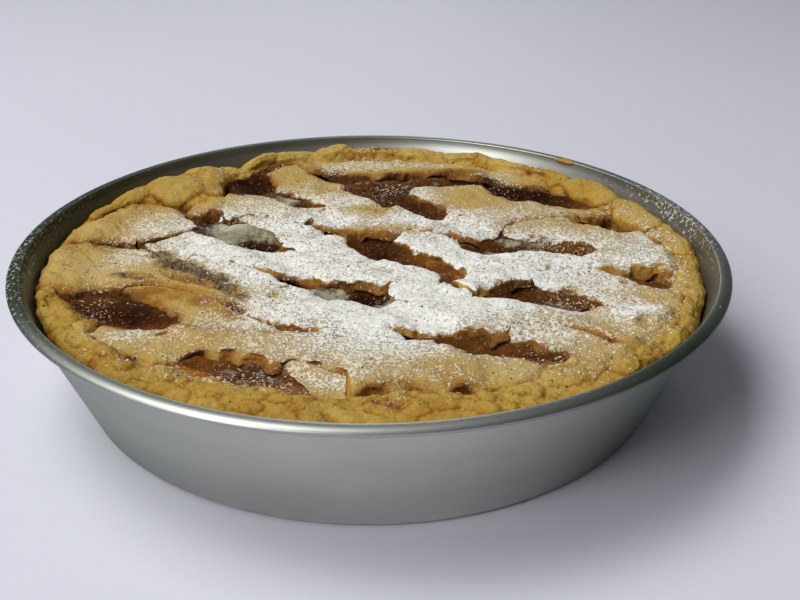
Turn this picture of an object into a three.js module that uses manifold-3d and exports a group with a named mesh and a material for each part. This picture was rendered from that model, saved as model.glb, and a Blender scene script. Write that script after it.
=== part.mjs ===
// Pastiera: a wheat-and-ricotta tart baked in its own aluminium tin.
// Millimetres, +Z up, origin in the middle of the tin's base, front towards -Y.
//
// From the outside in: the spun tin with a rolled lip; the short-crust case that lines it and is folded
// over at the top; the filling; five pastry strips laid one way, and over them five laid across. The third
// of these has cracked into three pieces.
import * as THREE from "three";
import { mergeVertices } from "three/addons/utils/BufferGeometryUtils.js";
import Module from "manifold-3d";

const wasm = await Module();
wasm.setup();

// ---------------------------------------------------------------- driving dimensions
const TURN = 72; // facets round the tin and the tart

// tin
const BASE_R = 122.0; // outside, at the foot of the wall
const WALL_R = 140.6; // outside, just under the lip
const WALL_TOP = 51.2;
const LIP_R = 145.0; // outside of the rolled lip
const TIN_H = 54.8;
const SHEET = 1.2;
const FOOT_FILLET = 3.6;
const LIP_BEAD = [2.9, 1.7]; // half width and half height of the flattened roll round the wire

// case
const GAP = 0.4; // between neighbouring pieces
const CRUST = 5.5; // thickness of the lining on the wall
const CRUST_BASE = 4.2;
const EDGE_R = 134.6; // outside of the folded edge
const EDGE_INNER_R = 123; // where the folded edge ends over the filling
const EDGE_TOP = 49.2; // mean height of the folded edge
const EDGE_RISE = 1.9; // it stands higher towards the back left
const EDGE_RISE_AT = 118; // degrees
const EDGE_NOSE = 47.0; // height of the inner lip of the fold

// filling
const FILL_TOP = 40.0;
const FILL_DOME = 0.5;

// lattice
const STRIP = 7.0; // baked thickness of a strip
const PRESSED = 5.3; // thickness of a lower strip under an upper one
const BRIDGE = 4.5; // thickness of an upper strip where it climbs over a lower one
const RAMP = 7; // length of that climb
const STEP = 6; // length of a facet along a strip
const SPREAD = 6; // how far past its own edge a strip spreads to meet an opening
const FLUTE_PITCH = 11.5; // waves left by the pastry wheel
const FLUTE_DEPTH = 2.0;

// Folds of the edge: where each lies and how far it spreads (degrees), then how far it reaches in over
// the lattice, out towards the wall of the tin, and up (mm). A negative reach is a narrow stretch.
const FOLDS = [
  { at: 0, spread: 30, reach: 0, out: 2.2, up: 0.6 },
  { at: 21, spread: 8, reach: 5, out: 0, up: 0.4 },
  { at: 36, spread: 6, reach: 6, out: 0, up: 0 },
  { at: 90, spread: 12, reach: 3, out: 0, up: 0.4 },
  { at: 122, spread: 5, reach: -4, out: -3.5, up: -2.2 },
  { at: 139, spread: 8.5, reach: 31, out: 0, up: 0 },
  { at: 182, spread: 21, reach: -5.5, out: 0.8, up: -1.2 },
  { at: 224, spread: 9, reach: 3.5, out: 0, up: 0 },
  { at: 249, spread: 12, reach: 11, out: 0, up: 0 },
  { at: 276, spread: 17, reach: 14, out: 0, up: 0 },
  { at: 303, spread: 9, reach: 5, out: 0, up: 0 },
  { at: 341, spread: 9, reach: -5, out: 0, up: 0 },
];

// Strips: control points of the centre line, each [x, y, width].
const LOWER = {
  lower_strip_1: [[40, 84, 36], [44, 64, 38], [71, 35, 31], [103, 11, 31], [126, -12, 26]],
  lower_strip_2: [[-42, 102, 24], [-12, 59, 25], [18, 17, 27], [52, -13, 27], [82, -29, 33], [114, -57, 26]],
  lower_strip_3: [
    [-62, 56, 24], [-47, 37, 26], [-33, 22, 24], [-9, -13, 25], [27, -43, 25], [70, -80, 26], [88, -94, 22],
  ],
  lower_strip_4: [[-86, 10, 22], [-68, -8, 26], [-46, -30, 23], [-12, -64, 26], [22, -100, 22]],
  lower_strip_5: [[-94, -20, 22], [-76, -38, 24], [-44, -74, 26], [-17, -98, 30], [-4, -113, 32]],
};
const UPPER = {
  upper_strip_1: [[-73, 110, 13], [-42, 118, 17], [-5, 109, 22], [38, 113, 18], [58, 105, 22], [92, 85, 24]],
  upper_strip_2: [[-74, 59, 24], [-30, 42, 25], [5, 34, 25], [36, 28, 21], [78, 45, 23], [110, 47, 12]],
  upper_strip_3_left: [[-131, 24, 26], [-114, 31, 42], [-99, 33, 46], [-85, 21, 32]],
  upper_strip_3_middle: [[-83.5, 9, 22], [-65, 2, 24], [-22, -16, 21], [4, -22, 19], [28, -27, 14]],
  upper_strip_3_right: [[34, -34, 9], [45, -27, 21], [60, -14, 25], [80, -11, 20], [127, -8, 21]],
  upper_strip_4: [
    [-132, -10, 42], [-112, -13, 47], [-86, -22, 25], [-58, -42, 13], [-32, -58, 18], [20, -59, 24], [80, -62, 19], [96, -70, 29], [112, -74, 29],
  ],
  upper_strip_5: [
    [-99, -72, 12], [-81, -73, 16], [-66, -76, 22], [-40, -80, 21], [-20, -84, 24], [0, -92, 29], [18, -98, 28],
    [42, -97, 22], [66, -101, 12],
  ],
};
// Where the lattice leaves the filling open: [x, y, half length, half width, degrees turned].
const OPENINGS = [
  [-59, 88, 18, 12, 106], [-44, 69, 10, 6.5, -15], [-84, 44, 15, 3.2, -52], [-59, 21, 25, 12, -38],
  [18, 57, 24, 12, -42], [3, 80, 17, 15, 0], [36, 91, 20, 8, 4], [80, 69, 27, 12, -26], [98, 60, 9, 8, 0],
  [3, 8, 20, 12, -50], [19, -10, 16, 11, -38], [34, -25, 12, 5.5, -68],
  [57, 6, 21, 13.5, -3], [84, 4, 16, 9, -12], [-81, -12, 11, 4.2, -48],
  [-7, -40, 18, 10, -18], [57, -40, 14, 11, 0], [75, -45, 18, 9, -25], [43, -43, 7, 3.5, 0],
  [105, -28, 6, 2.2, -60], [114, -34, 5, 2.6, -80],
  [-94, -51, 26, 13, -27], [38, -79, 20, 8.5, -15], [60, -86, 12, 8.5, -55],
  [-48, -95, 21, 8.5, -18], [-28, -108, 9, 4.2, -40],
];
const FLUTED = "upper_strip_5"; // its front edge keeps the waves of the wheel

// ---------------------------------------------------------------- looks
const look = (color, roughness, metalness = 0) =>
  new THREE.MeshStandardMaterial({ color, roughness, metalness });
const ALUMINIUM = () => look(0xa9aba8, 0.38, 1);
const PASTRY = () => look(0xc79a5a, 0.85);
const SUGARED = () => look(0xd8cdb8, 0.9);
const FILLING = () => look(0x5a2a14, 0.45);

// ---------------------------------------------------------------- geometry helpers
const rad = THREE.MathUtils.degToRad;
const smooth = (x, from, to) => THREE.MathUtils.smoothstep(x, from, to);

// A closed body from its vertices and triangles.
const bodyOf = (verts, tris) =>
  new wasm.Manifold(
    new wasm.Mesh({ numProp: 3, vertProperties: new Float32Array(verts), triVerts: new Uint32Array(tris) }),
  );

// A closed body from a three.js geometry, whose doubled vertices are merged.
function bodyOfGeometry(geometry) {
  const bare = new THREE.BufferGeometry().setAttribute("position", geometry.getAttribute("position"));
  const merged = mergeVertices(bare.setIndex(geometry.index), 1e-3);
  return bodyOf(merged.getAttribute("position").array, merged.index.array);
}

function meshOf(name, body, material) {
  const { vertProperties, triVerts } = body.getMesh();
  const geometry = new THREE.BufferGeometry();
  geometry.setAttribute("position", new THREE.BufferAttribute(vertProperties, 3));
  geometry.setIndex(new THREE.BufferAttribute(triVerts, 1));
  const mesh = new THREE.Mesh(geometry.toNonIndexed(), material);
  mesh.geometry.computeVertexNormals();
  mesh.name = name;
  return mesh;
}

// A body turned about the Z axis. profile(angle) gives the [r, z] points at an angle, from the bottom
// centre, round the outside, to the top centre. Where they change with the angle, the lathe follows them.
function turned(profile) {
  const lathe = new THREE.LatheGeometry(profile(0).map(([r, z]) => new THREE.Vector2(r, z)), TURN);
  const place = lathe.getAttribute("position");
  const count = profile(0).length;
  for (let i = 0; i <= TURN; i++) {
    const a = ((i % TURN) / TURN) * 2 * Math.PI;
    profile(a).forEach(([r, z], j) => place.setXYZ(i * count + j, r * Math.cos(a), r * Math.sin(a), z));
  }
  return bodyOfGeometry(lathe);
}

// ---------------------------------------------------------------- tin
const wallSlope = (WALL_R - BASE_R) / (WALL_TOP - FOOT_FILLET);
const insideR = (z) => BASE_R - SHEET * Math.hypot(1, wallSlope) + wallSlope * (z - FOOT_FILLET);

function tinProfile() {
  const [beadWide, beadHigh] = LIP_BEAD;
  const bead = [235, 270, 310, 0, 50, 95, 140].map((deg) => [
    LIP_R - beadWide + beadWide * Math.cos(rad(deg)),
    TIN_H - beadHigh + beadHigh * Math.sin(rad(deg)),
  ]);
  return [
    [0, 0],
    [BASE_R - FOOT_FILLET, 0],
    [BASE_R - FOOT_FILLET * 0.35, FOOT_FILLET * 0.3],
    [BASE_R, FOOT_FILLET],
    [WALL_R, WALL_TOP],
    ...bead,
    [insideR(TIN_H - 2.6) + 0.25, TIN_H - 2.6],
    [insideR(5), 5],
    [insideR(5) - 2.8, SHEET + 0.4],
    [BASE_R - FOOT_FILLET - 2.5, SHEET],
    [0, SHEET],
  ];
}
const tin = turned(tinProfile);

// ---------------------------------------------------------------- case
const deg = (a) => (THREE.MathUtils.radToDeg(a) + 720) % 360;
const bump = (a, at, spread) => {
  const off = ((deg(a) - at + 540) % 360) - 180;
  return Math.exp(-((off / spread) ** 2));
};
const liningR = insideR(FILL_TOP) - GAP - CRUST; // inside of the lining at the top of the filling

// Whether a place lies inside an opening of the lattice.
const opened = (x, y) =>
  OPENINGS.some(([cx, cy, length, width, turned]) => {
    const [c, s] = [Math.cos(rad(turned)), Math.sin(rad(turned))];
    return Math.hypot(((x - cx) * c + (y - cy) * s) / length, ((y - cy) * c - (x - cx) * s) / width) < 1;
  });
const folded = (a, how) => FOLDS.reduce((sum, f) => sum + f[how] * bump(a, f.at, f.spread), 0);
const edgeInner = (a) =>
  Math.min(
    EDGE_INNER_R -
      folded(a, "reach") +
      0.9 * Math.sin(9 * a + 0.6) +
      0.7 * Math.sin(16 * a + 2.1),
    liningR - 0.6,
  );
const edgeOuter = (a) => EDGE_R + folded(a, "out") + 0.5 * Math.sin(11 * a + 1.1) + 0.4 * Math.sin(19 * a);
const edgeTop = (a) =>
  EDGE_TOP +
  folded(a, "up") +
  EDGE_RISE * Math.cos(a - rad(EDGE_RISE_AT)) +
  0.55 * Math.sin(13 * a + 0.4) +
  0.4 * Math.sin(22 * a + 1.9);

function caseProfile(a) {
  const floor = SHEET + GAP;
  const out = (z) => insideR(z) - GAP;
  const inner = edgeInner(a);
  const outer = edgeOuter(a);
  const top = edgeTop(a);
  return [
    [0, floor],
    [insideR(5) - 5.4, floor],
    [out(6.5) - 0.6, 6.5],
    [out(FILL_TOP), FILL_TOP],
    [Math.min(outer, out(44.8)), 44.8],
    [Math.min(outer - 0.5, out(top - 1.6)), top - 1.6],
    [outer - 3.5, top],
    [(outer - 4 + inner) / 2, (top + EDGE_NOSE) / 2 + 0.5],
    [Math.min(inner + 2.2, outer - 5), EDGE_NOSE + 0.4],
    [inner, EDGE_NOSE - 2.6],
    [Math.min(inner + 3.5, liningR - 0.2), FILL_TOP + 2 * GAP + 0.4],
    [liningR, FILL_TOP + 2 * GAP],
    [insideR(10) - GAP - CRUST, 10],
    [insideR(5) - 13, floor + CRUST_BASE],
    [0, floor + CRUST_BASE],
  ];
}
const pastryCase = turned(caseProfile);

// ---------------------------------------------------------------- filling
const fillTop = (x, y) => FILL_TOP + FILL_DOME * (1 - (x * x + y * y) / EDGE_R ** 2);

function fillingProfile(a) {
  const rim = insideR(FILL_TOP - 1.2) - CRUST - 2 * GAP - 0.6;
  const z = (r) => fillTop(r, 0);
  return [
    [0, SHEET + CRUST_BASE + 2 * GAP],
    [insideR(5) - 14, SHEET + CRUST_BASE + 2 * GAP],
    [insideR(10.4) - CRUST - 2 * GAP - 0.4, 10.4],
    [rim, FILL_TOP - 1.6],
    [rim - 2, z(rim - 2)],
    [60, z(60)],
    [0, z(0)],
  ];
}
const filling = turned(fillingProfile);

// ---------------------------------------------------------------- lattice
// The centre line of a strip, as evenly spaced stations: place, sideways direction, half width, length so far.
function stationsOf(points, step) {
  const curve = new THREE.CatmullRomCurve3(
    points.map(([x, y, w]) => new THREE.Vector3(x, y, w)),
    false,
    "centripetal",
  );
  const length = curve.getLength();
  const n = Math.max(4, Math.round(length / step));
  const at = Array.from({ length: n + 1 }, (_, i) => curve.getPointAt(i / n));
  return at.map((p, i) => {
    const d = at[Math.min(i + 1, n)].clone().sub(at[Math.max(i - 1, 0)]);
    const l = Math.hypot(d.x, d.y);
    return { x: p.x, y: p.y, nx: -d.y / l, ny: d.x / l, half: p.z / 2, along: (i / n) * length };
  });
}

// How far a place lies under (1) or clear of (0) the strips of a layer.
const courses = (layer) => Object.values(layer).map((points) => stationsOf(points, 4));
const [lowerCourses, upperCourses] = [courses(LOWER), courses(UPPER)];
function cover(list, x, y, ramp) {
  let most = 0;
  for (const course of list) {
    let near = Infinity;
    for (const s of course) near = Math.min(near, Math.hypot(x - s.x, y - s.y) - s.half);
    most = Math.max(most, 1 - smooth(near, 0, ramp));
  }
  return most;
}

// How far a strip reaches to one side of a station: where an opening or the folded edge lies near its
// edge, to that.
function reachOf({ x, y, nx, ny, half }, hand) {
  for (let r = 0.3 * half; r < half + SPREAD; r += 0.5) {
    const [px, py] = [x + hand * nx * r, y + hand * ny * r];
    if (opened(px, py)) return r + 1.5;
    if (r > half - 1 && Math.hypot(px, py) > edgeInner(Math.atan2(py, px))) return r + 1;
  }
  return half;
}

// Half of a strip's section, from the flat underside to the crown: [inset from the edge, height 0 to 1].
const SIDE = [[1.6, 0], [0, 0.22], [0.1, 0.66], [2.4, 0.95]];

function stripBody(name, points, upper, grow = 0) {
  const fluted = name === FLUTED;
  const stations = stationsOf(points, fluted ? FLUTE_PITCH / 3 : STEP);
  const verts = [];
  const tris = [];
  const reaches = [-1, 1].map((hand) => stations.map((s) => reachOf(s, hand)));
  const eased = (list, i) => (list[Math.max(i - 1, 0)] + 2 * list[i] + list[Math.min(i + 1, list.length - 1)]) / 4;
  for (const [i, s] of stations.entries()) {
    const wave = fluted ? FLUTE_DEPTH * (0.5 + 0.5 * Math.cos((2 * Math.PI * s.along) / FLUTE_PITCH)) : 0;
    const [left, right] = reaches.map((list) => eased(list, i) + grow);
    const ring = [
      ...SIDE.map(([inset, h]) => [-(left - inset) + wave * (1 - 0.4 * h), h]),
      [(right - left) / 2, 1],
      ...SIDE.map(([inset, h]) => [right - inset, h]).reverse(),
    ];
    for (const [off, h] of ring) {
      const x = s.x + s.nx * off;
      const y = s.y + s.ny * off;
      const over = cover(upper ? lowerCourses : upperCourses, x, y, upper ? RAMP : 5);
      const bed = fillTop(x, y) + GAP + (upper ? over * (PRESSED + GAP) : 0);
      const thick = THREE.MathUtils.lerp(STRIP, upper ? BRIDGE : PRESSED, over);
      verts.push([x, y, h === 0 ? bed - grow : bed + thick * h + grow]);
    }
  }
  const m = 2 * SIDE.length + 1;
  const at = (i, j) => i * m + (j % m);
  for (let i = 0; i < stations.length - 1; i++)
    for (let j = 0; j < m; j++) {
      tris.push([at(i, j), at(i + 1, j + 1), at(i, j + 1)]);
      tris.push([at(i, j), at(i + 1, j), at(i + 1, j + 1)]);
    }
  for (const [i, flip] of [[0, true], [stations.length - 1, false]])
    for (let j = 1; j < m - 1; j++)
      tris.push(flip ? [at(i, 0), at(i, j), at(i, j + 1)] : [at(i, 0), at(i, j + 1), at(i, j)]);
  return bodyOf(verts.flat(), tris.flat());
}

// The strips are pressed on inside the folded edge, so each is trimmed to the line of its inner lip.
const trimLine = Array.from({ length: TURN }, (_, i) => {
  const a = (i / TURN) * 2 * Math.PI;
  const r = edgeInner(a) - GAP;
  return new THREE.Vector2(r * Math.cos(a), r * Math.sin(a));
});
const [TRIM_FROM, TRIM_HEIGHT] = [25, 40];
const trim = bodyOfGeometry(
  new THREE.ExtrudeGeometry(new THREE.Shape(trimLine), { depth: TRIM_HEIGHT, bevelEnabled: false })
    .translate(0, 0, TRIM_FROM),
);

const biggest = (body) =>
  body.decompose().sort((p, q) => q.volume() - p.volume())[0];

const laid = [];
function lay(name, points, upper) {
  let body = stripBody(name, points, upper).intersect(trim);
  for (const below of laid) body = body.subtract(below);
  laid.push(stripBody(name, points, upper, 0.75 * GAP));
  return biggest(body).simplify(0.1);
}

const group = new THREE.Group();
group.name = "pastiera";
group.add(meshOf("tin", tin, ALUMINIUM()));
group.add(meshOf("pastry_case", pastryCase, PASTRY()));
group.add(meshOf("filling", filling, FILLING()));
for (const [name, points] of Object.entries(LOWER)) group.add(meshOf(name, lay(name, points, false), SUGARED()));
for (const [name, points] of Object.entries(UPPER)) group.add(meshOf(name, lay(name, points, true), SUGARED()));

export default group;
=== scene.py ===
import math

import bpy
import numpy as np
from mathutils import Matrix, Vector
from mathutils.bvhtree import BVHTree


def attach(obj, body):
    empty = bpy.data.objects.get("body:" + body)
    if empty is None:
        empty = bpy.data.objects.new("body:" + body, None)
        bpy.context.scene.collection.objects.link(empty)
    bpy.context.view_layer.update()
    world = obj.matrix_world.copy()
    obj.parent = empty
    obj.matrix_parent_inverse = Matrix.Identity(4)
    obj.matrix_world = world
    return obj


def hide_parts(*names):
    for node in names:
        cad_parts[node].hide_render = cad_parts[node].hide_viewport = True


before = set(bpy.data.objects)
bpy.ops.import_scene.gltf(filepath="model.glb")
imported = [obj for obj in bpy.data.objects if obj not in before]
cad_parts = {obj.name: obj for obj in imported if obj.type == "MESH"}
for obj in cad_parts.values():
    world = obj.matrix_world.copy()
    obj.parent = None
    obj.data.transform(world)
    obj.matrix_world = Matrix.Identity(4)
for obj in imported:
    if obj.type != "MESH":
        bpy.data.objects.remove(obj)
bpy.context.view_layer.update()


# ---- The tin ------------------------------------------------------------------------------------
# A flared baking tin spun from aluminium sheet. Its upper edge is turned outwards and rolled over a
# wire into a bead. The metal is bare, satin from use, with faint rings from the spinning.

TIN_FOOT_R, TIN_WALL_R, TIN_LIP_R = 122.0, 140.6, 145.0     # millimetres, as all shapes here
TIN_HEIGHT, TIN_WALL_TOP, TIN_FILLET, SHEET, LIP_WIDE, LIP_HIGH = 54.8, 51.2, 3.6, 1.2, 2.9, 1.7
TIN_SLOPE = (TIN_WALL_R - TIN_FOOT_R) / (TIN_WALL_TOP - TIN_FILLET)


def tin_inside(z):
    """Radius of the inner face of the wall at a height."""
    return TIN_FOOT_R - SHEET * math.hypot(1, TIN_SLOPE) + TIN_SLOPE * (z - TIN_FILLET)


def relief(points, size, seed):
    """Soft random bumps about this size across, from -1 to 1, for an array of points."""
    q = np.asarray(points, float) / size + 31.7 * seed
    cell = np.floor(q).astype(np.int64)
    f = q - cell
    f = f * f * f * (f * (f * 6 - 15) + 10)
    total = np.zeros(q.shape[:-1])
    for corner in range(8):
        step = np.array([corner & 1, corner >> 1 & 1, corner >> 2 & 1])
        c = cell + step
        h = (c[..., 0] * 73856093 ^ c[..., 1] * 19349663 ^ c[..., 2] * 83492791) & 0xFFFFFFFF
        h = (h ^ (h >> 13)) * 1274126177 & 0xFFFFFFFF
        value = ((h ^ (h >> 16)) & 0xFFFF) / 32767.5 - 1
        total += value * np.prod(np.where(step, f, 1 - f), axis=-1)
    return total


def place_mesh(name, points, faces):
    """A smooth mesh from points in millimetres and faces, riding the tart's one body."""
    mesh = bpy.data.meshes.new(name)
    mesh.from_pydata((points / 1000).tolist(), [], faces)
    mesh.polygons.foreach_set("use_smooth", np.ones(len(mesh.polygons), bool))
    mesh.update()
    made = bpy.data.objects.new(name, mesh)
    bpy.context.scene.collection.objects.link(made)
    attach(made, "root")
    return made


def piece(name, rings, attributes, node=None):
    """A closed skin over rings of points (ring, point, xyz), its first and last ring filled in."""
    rings = np.asarray(rings, float)
    n, m = rings.shape[:2]
    i, j = np.meshgrid(np.arange(n - 1), np.arange(m), indexing="ij")
    k = (j + 1) % m
    quads = np.stack([i * m + j, i * m + k, (i + 1) * m + k, (i + 1) * m + j], -1).reshape(-1, 4)
    p = rings.reshape(-1, 3)
    a, b, c, d = (p[quads[:, s]] for s in range(4))
    ends = [list(range(m - 1, -1, -1)), list(range((n - 1) * m, n * m))]
    if np.einsum("ij,ij->i", (a + b + c + d) / 4, np.cross(c - a, d - b)).sum() < 0:
        quads = quads[:, ::-1]
        ends = [end[::-1] for end in ends]
    made = place_mesh(name, p, quads.tolist() + ends)
    for key, values in attributes.items():
        layer = made.data.attributes.new(key, "FLOAT", "POINT")
        layer.data.foreach_set("value", np.asarray(values, np.float32).ravel())
    if node:
        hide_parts(node)
    return made


def along(profile, count):
    """A profile of (r, z) corners as evenly spaced points."""
    p = np.array(profile, float)
    s = np.r_[0, np.cumsum(np.hypot(*np.diff(p, axis=0).T))]
    t = np.linspace(0, s[-1], count)
    return np.stack([np.interp(t, s, p[:, 0]), np.interp(t, s, p[:, 1])], -1)


# the roll is flattened: wider than it is high, and its top falls away outwards a little
TOP_FALL = 0.12
bead = []
for a in range(235, 501, 9):
    across, up = math.cos(math.radians(a)), math.sin(math.radians(a))
    bead.append((TIN_LIP_R - LIP_WIDE + LIP_WIDE * across,
                 TIN_HEIGHT - LIP_HIGH + LIP_HIGH * up - TOP_FALL * (1 + across) * max(up, 0)))
tin_profile = np.concatenate([
    [(1, 0), (60, 0), (110, 0), (117, 0)],
    along([(117.8, 0), (119.9, 0.45), (121.3, 1.7), (122.0, 3.6)], 8),
    along([(122.4, 4.6), (TIN_WALL_R, TIN_WALL_TOP)], 26),
    bead, along([(tin_inside(TIN_HEIGHT - 1.8) + 0.1, TIN_HEIGHT - 1),
                 (tin_inside(TIN_HEIGHT - 3) + 0.1, TIN_HEIGHT - 3)], 4),
    along([(tin_inside(TIN_HEIGHT - 4.7), TIN_HEIGHT - 4.7), (tin_inside(5), 5)], 20),
    along([(tin_inside(5) - 0.8, 3.2), (tin_inside(5) - 3.2, SHEET)], 4),
    [(100, SHEET), (50, SHEET), (1, SHEET)],
])
turn = np.linspace(0, 2 * np.pi, 288, endpoint=False)
r, z = tin_profile[:, 0][:, None], tin_profile[:, 1][:, None]
shell = np.stack([r * np.cos(turn), r * np.sin(turn), np.broadcast_to(z, (len(r), len(turn)))], -1)
# the wall is a little out of round, but not at its foot or at the roll
DENT_DEEP, DENT_SIZE = 0.16, 46
dent = DENT_DEEP * relief(shell * [1, 1, 1.6], DENT_SIZE, 3)
dent = dent * np.clip(z / 12, 0, 1) * np.clip((TIN_WALL_TOP - z) / 6, 0, 1)
shell[..., :2] *= (1 + dent / np.maximum(r, 60))[..., None]


def facing(turned, spread):
    """1 at this many degrees round the tin, falling off this far to either side."""
    return np.exp(-(((np.degrees(turn) - turned + 540) % 360 - 180) / spread) ** 2)


# painted shade: the dark reflections of the room and of the shadowed table, on the roll, most at the left
# and at the front right, and on both sides of the wall
OUTER_ROWS, INNER_ROWS = 60, 27     # of the profile: counted from its start, and from its end
row = np.arange(len(tin_profile))[:, None]
on_roll = np.clip((shell[..., 2] - TIN_WALL_TOP + 0.2) / 0.8, 0, 1)
within = (row >= len(tin_profile) - INNER_ROWS) * (1 - on_roll)
outside = (z < TIN_WALL_TOP - 0.2) * (row < OUTER_ROWS)
handled = (on_roll * (0.3 + 0.7 * np.maximum(facing(163, 56), facing(-45, 26))
                      + 0.25 * (facing(92, 24) + facing(30, 14)) + 0.4 * facing(-158, 20))
           + within * (0.2 + 0.7 * np.maximum(facing(170, 56), 0.6 * facing(-25, 30)))
           + outside * (0.72 * facing(-152, 22) + 0.3 * facing(-122, 26) + 0.85 * facing(-38, 26)))
floury = (on_roll + within) * np.clip((z - 44) / 6, 0, 1)
floury = floury * (0.75 * facing(-172, 34) + facing(12, 22) + 0.3)
tin = piece("tin_body", shell, {"handled": handled, "floury": floury}, node="tin")


class Wire:
    """A socket in a material. Sums on it add Math nodes; node() adds any other kind."""

    def __init__(self, tree, socket=None):
        self.tree, self.socket = tree, socket

    def node(self, kind, settings=None, sockets=None, out=0):
        made = self.tree.nodes.new(kind)
        for key, value in (settings or {}).items():
            if key == "stops":
                ramp = made.color_ramp
                while len(ramp.elements) < len(value):
                    ramp.elements.new(0.5)
                for element, (place, colour) in zip(ramp.elements, value):
                    element.position, element.color = place, colour
            else:
                setattr(made, key, value)
        for key, value in (sockets or {}).items():
            if isinstance(value, Wire):
                self.tree.links.new(value.socket, made.inputs[key])
            else:
                made.inputs[key].default_value = value
        return Wire(self.tree, made.outputs[out] if len(made.outputs) else None)

    def math(self, operation, first, second):
        return self.node("ShaderNodeMath", {"operation": operation}, {0: first, 1: second})

    def __add__(self, other):
        return self.math("ADD", self, other)

    def __sub__(self, other):
        return self.math("SUBTRACT", self, other)

    def __rsub__(self, other):
        return self.math("SUBTRACT", other, self)

    def __mul__(self, other):
        return self.math("MULTIPLY", self, other)

    __radd__, __rmul__ = __add__, __mul__

    def band(self, low, high):
        """0 below low, 1 above high, smooth between."""
        return self.node("ShaderNodeMapRange", {"interpolation_type": "SMOOTHSTEP"},
                         {"Value": self, "From Min": low, "From Max": high})

    def noise(self, size, detail=2.0, rough=0.5, at=None):
        """Random tone from 0 to 1, in patches about this many millimetres across."""
        return self.node("ShaderNodeTexNoise", {}, {"Vector": at or self.place(), "Scale": 500 / size,
                                                    "Detail": detail, "Roughness": rough})

    def place(self):
        """Where on the object this is."""
        return self.node("ShaderNodeTexCoord", out=3)

    def painted(self, key):
        """A value that piece() laid on the mesh's points."""
        return self.node("ShaderNodeAttribute", {"attribute_name": key}, out=2)

    def blend(self, low, high):
        """Colour low where this is 0, colour high where it is 1."""
        return self.node("ShaderNodeMix", {"data_type": "RGBA"}, {0: self, 6: low, 7: high}, out=2)


def rgb(red, green, blue):
    """A screen colour, 0 to 255, as the light it stands for."""
    return tuple((c / 255 / 12.92 if c <= 10 else ((c / 255 + 0.055) / 1.055) ** 2.4)
                 for c in (red, green, blue)) + (1,)


def finish(name):
    """A new material: its Wire, and a way to set the surface's own sockets."""
    material = bpy.data.materials.new(name)
    material.use_nodes = True
    tree = material.node_tree
    surface = tree.nodes["Principled BSDF"]

    def set_sockets(**sockets):
        for key, value in sockets.items():
            socket = surface.inputs[key.replace("_", " ")]
            if isinstance(value, Wire):
                tree.links.new(value.socket, socket)
            else:
                socket.default_value = value
        return material
    return Wire(tree), set_sockets


metal, metal_sockets = finish("spun_aluminium")
# the spinning left rings, so this pattern is drawn out along the turn and fine up the wall
rings_at = metal.node("ShaderNodeMapping", {"vector_type": "POINT"},
                      {"Vector": metal.place(), "Scale": (0.035, 0.035, 1.0)})
spun = metal.noise(0.9, 3, 0.6, rings_at)
streak = metal.noise(6, 2, 0.5, rings_at)
smear = metal.noise(26, 4, 0.6)
scuff = metal.noise(2.4, 4, 0.7).band(0.60, 0.72) * metal.noise(14, 2).band(0.48, 0.62)
wear = metal.node("ShaderNodeBump", {}, {"Strength": 0.10, "Distance": 0.0003,
                                         "Height": spun * 0.6 + streak * 0.5 + scuff * 0.5})
# painted shade: where it is set, the colour goes to a dark olive that stands for the dark room and the
# shadowed table mirrored in the tin
painted_shade_mix = metal.painted("handled") * (0.75 + smear * 0.35)
bare = (smear * 0.7 + streak * 0.3).band(0.25, 0.75).blend(rgb(192, 193, 186), rgb(210, 211, 205))
floured = metal.painted("floury")
flour = (metal.noise(0.8, 3, 0.6) + floured * 0.12 - 0.12).band(0.56, 0.64) * floured
tin.data.materials.append(metal_sockets(
    Metallic=1.0 - flour * 0.8,
    Base_Color=(flour * 0.8).blend(painted_shade_mix.blend(bare, rgb(72, 84, 70)), rgb(205, 203, 192)),
    Roughness=0.31 + smear * 0.12 + spun * 0.06 - scuff * 0.08 + painted_shade_mix * 0.14, Normal=wear))


# ---- The pastry case ----------------------------------------------------------------------------
# Short-crust pastry rolled out, pressed into the tin and folded in over the filling at the top. The
# fold is thumbed down by hand, so it is a row of uneven lumps, long smooth flaps at the back left
# and the right, short crumbly ones along the front. It bakes golden, with painted shade in its creases.

GAP, CRUST, CRUST_BASE = 0.4, 5.5, 4.2
EDGE_R, EDGE_INNER_R, EDGE_TOP, EDGE_RISE, EDGE_RISE_AT, EDGE_NOSE = 134.6, 123.0, 49.2, 1.9, 118, 47.0
FILL_TOP, FILL_DOME, CRUST_TALLEST = 40.0, 0.5, 53.4
# each fold: where it lies and its spread (degrees), its reach inwards, outwards and up (millimetres)
FOLDS = np.array([
    (0, 30, 0, 2.2, 0.6), (21, 8, 5, 0, 0.4), (36, 6, 6, 0, 0), (90, 12, 3, 0, 0.4),
    (122, 5, -4, -3.5, -2.2), (139, 8.5, 31, 0, 0), (182, 21, -5.5, 0.8, -2.9), (224, 9, 3.5, 0, 0),
    (249, 12, 11, 0, 0), (276, 17, 14, 0, 0), (303, 9, 5, 0, 0), (341, 9, -5, 0, 0)])


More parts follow.
